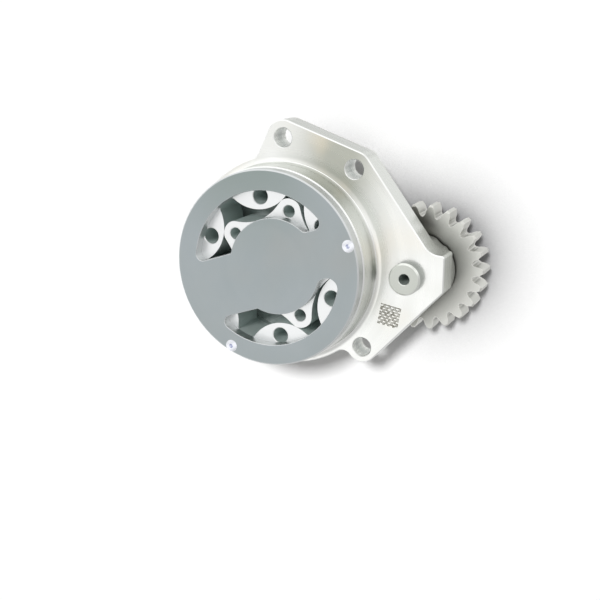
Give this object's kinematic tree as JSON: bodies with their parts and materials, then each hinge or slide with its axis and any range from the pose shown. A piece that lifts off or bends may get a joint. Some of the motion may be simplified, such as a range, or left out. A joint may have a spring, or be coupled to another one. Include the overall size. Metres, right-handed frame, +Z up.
{
  "type": "engine oil pump",
  "caption": "Flanged round gerotor oil pump with a port cover showing two kidney windows over its lobed rotors, driven through a pair of spur gears on the rear.",
  "frame": {"origin": "where the axis of the round pilot meets the flange's front mounting face", "axes": "+X from the pilot axis towards the idler gear side, +Y from the port cover back to the gears, +Z up towards the top bolt ear"},
  "size_m": [0.142, 0.0652, 0.1167],
  "materials": {
    "housing_alloy": "machined, satin",
    "ground_steel": "fine ground, dull grey",
    "screw_steel": "bright plated",
    "pin_steel": "ground",
    "bush_bronze": "plain bronze bearing",
    "sintered_steel": "sintered and ground faces",
    "washer_steel": "plain",
    "gear_steel": "hobbed and tumbled",
    "spring_steel": "phosphated spring steel"
  },
  "bodies": {
    "housing": {"pump_housing": "housing_alloy", "port_cover": "ground_steel", "cover_screws": "screw_steel", "cover_dowels": "pin_steel", "shaft_bush_front": "bush_bronze", "shaft_bush_rear": "bush_bronze", "idler_pin": "pin_steel", "idler_front_washer": "washer_steel", "idler_rear_washer": "washer_steel", "idler_clip": "spring_steel"},
    "shaft": {"drive_shaft": "pin_steel", "inner_rotor": "sintered_steel", "rotor_key": "pin_steel", "drive_gear": "gear_steel", "gear_key": "pin_steel", "gear_washer": "washer_steel", "gear_nut": "washer_steel", "shaft_thrust_washer": "washer_steel"},
    "outer_rotor": {"outer_rotor": "sintered_steel"},
    "idler": {"idler_gear": "gear_steel", "idler_bush": "bush_bronze"}
  },
  "joints": [
    {"name": "shaft_spin", "type": "hinge", "parent": "housing", "child": "shaft", "pos_m": [0.00434, 0, 0.00153], "axis": [0, 1, 0], "continuous": true},
    {"name": "outer_rotor_spin", "type": "hinge", "parent": "housing", "child": "outer_rotor", "pos_m": [0, 0, 0], "axis": [0, 1, 0], "continuous": true},
    {"name": "idler_spin", "type": "hinge", "parent": "housing", "child": "idler", "pos_m": [0.06174, 0.028, -0.00188], "axis": [0, 1, 0], "continuous": true}
  ],
  "couplings": [
    {"joint": "outer_rotor_spin", "follows": "shaft_spin", "ratio": 0.83333},
    {"joint": "idler_spin", "follows": "shaft_spin", "ratio": -1.0909}
  ]
}
